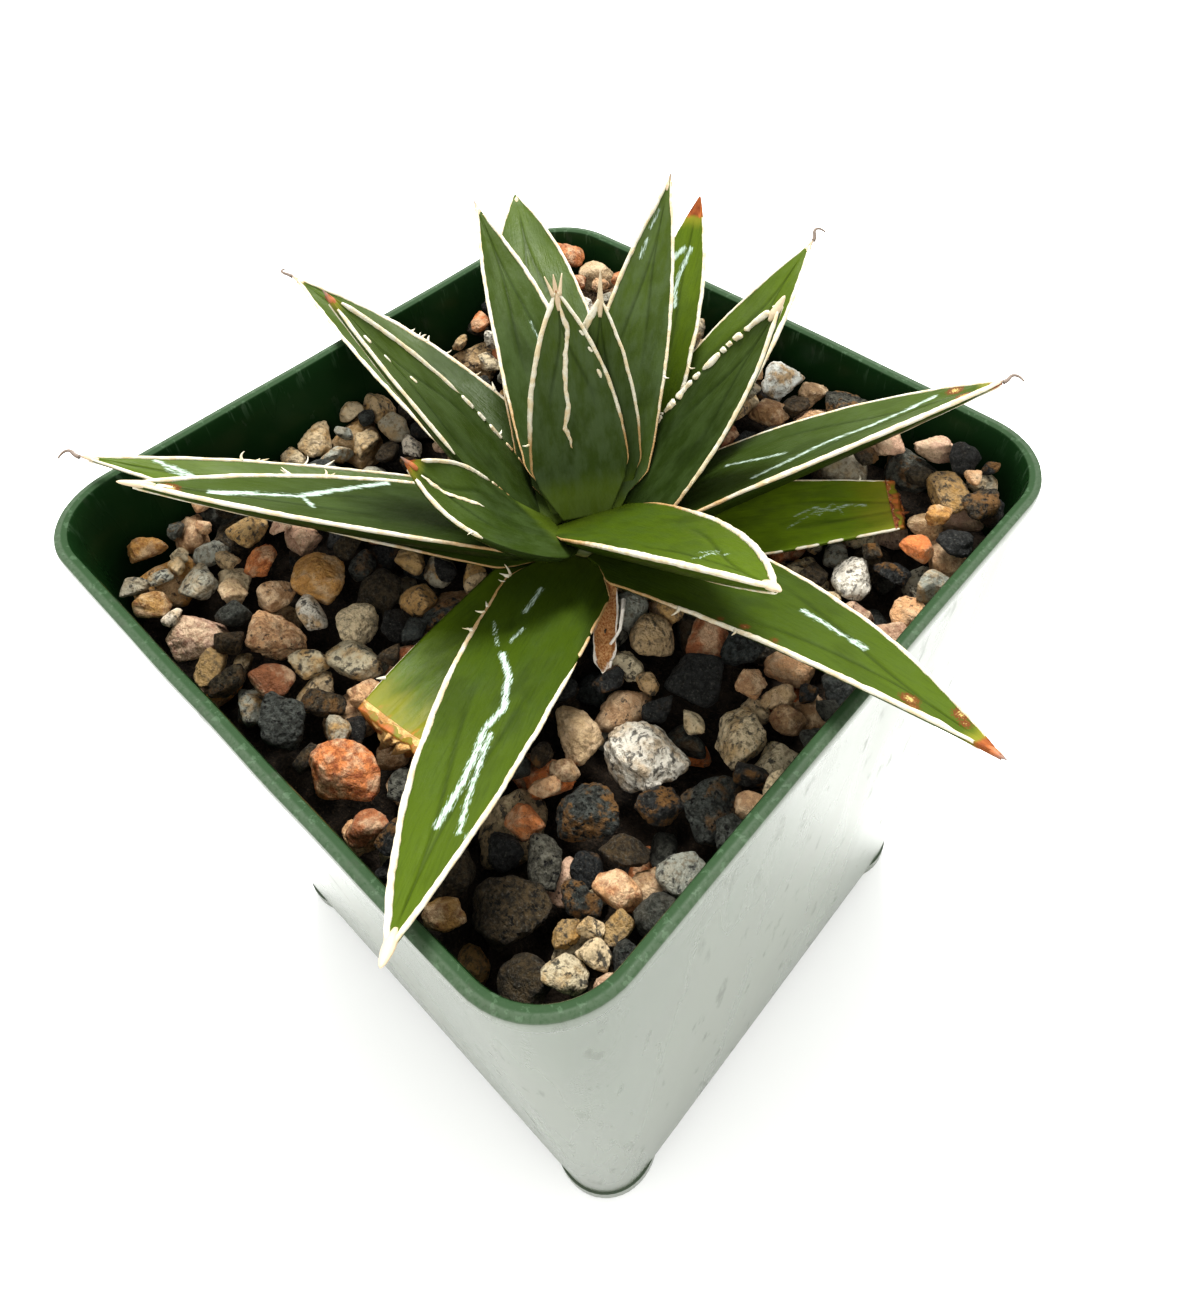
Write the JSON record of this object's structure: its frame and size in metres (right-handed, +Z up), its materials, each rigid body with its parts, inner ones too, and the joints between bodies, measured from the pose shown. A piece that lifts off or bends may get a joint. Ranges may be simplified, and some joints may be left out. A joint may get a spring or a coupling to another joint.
{
  "type": "potted agave",
  "caption": "Young white-margined agave rosette in a square dark green nursery pot, top-dressed with mixed gravel.",
  "frame": {"origin": "on the ground, at the middle of the pot's square base, which is also the middle of the whole plant's box", "axes": "+Z up, +X and +Y square to the pot's sides; the corner between the +X and -Y sides faces the viewer"},
  "size_m": [0.1176, 0.0963, 0.1269],
  "materials": {
    "pot_plastic": "satin",
    "potting_mix": "matte",
    "fine_gravel": "matte",
    "basalt": "matte",
    "granite": "matte",
    "quartz": "satin",
    "stem": "matte",
    "leaf": "satin",
    "cut_leaf": "satin",
    "dried_leaf": "matte"
  },
  "bodies": {
    "root": {"dried_leaf": "dried_leaf", "gravel_bed": "fine_gravel", "leaf_01_cut": "cut_leaf", "leaf_02_cut": "cut_leaf", "leaf_03": "leaf", "leaf_04": "leaf", "leaf_05": "leaf", "leaf_06": "leaf", "leaf_07": "leaf", "leaf_08": "leaf", "leaf_09": "leaf", "leaf_10": "leaf", "leaf_11": "leaf", "leaf_12": "leaf", "leaf_13": "leaf", "leaf_14": "leaf", "leaf_15": "leaf", "leaf_16": "leaf", "leaf_17": "leaf", "leaf_18": "leaf", "leaf_19": "leaf", "pebble_01_granite": "granite", "pebble_02_quartz": "quartz", "pebble_03_quartz": "quartz", "pebble_04_basalt": "basalt", "pebble_05_basalt": "basalt", "pebble_06_basalt": "basalt", "pebble_07_basalt": "basalt", "pebble_08_granite": "granite", "pebble_09_basalt": "basalt", "pebble_10_quartz": "quartz", "pebble_11_granite": "granite", "pebble_12_quartz": "quartz", "pebble_13_granite": "granite", "pebble_14_granite": "granite", "pebble_15_granite": "granite", "pebble_16_basalt": "basalt", "pebble_17_granite": "granite", "pebble_18_basalt": "basalt", "pebble_19_quartz": "quartz", "pebble_20_basalt": "basalt", "pebble_21_basalt": "basalt", "pebble_22_granite": "granite", "pebble_23_basalt": "basalt", "pebble_24_quartz": "quartz", "pebble_25_basalt": "basalt", "pebble_26_granite": "granite", "pebble_27_granite": "granite", "pebble_28_basalt": "basalt", "pebble_29_granite": "granite", "pebble_30_granite": "granite", "pebble_31_basalt": "basalt", "pebble_32_granite": "granite", "pebble_33_quartz": "quartz", "pebble_34_granite": "granite", "pebble_35_basalt": "basalt", "pebble_36_quartz": "quartz", "pot": "pot_plastic", "potting_mix": "potting_mix", "stem": "stem"}
  },
  "joints": []
}
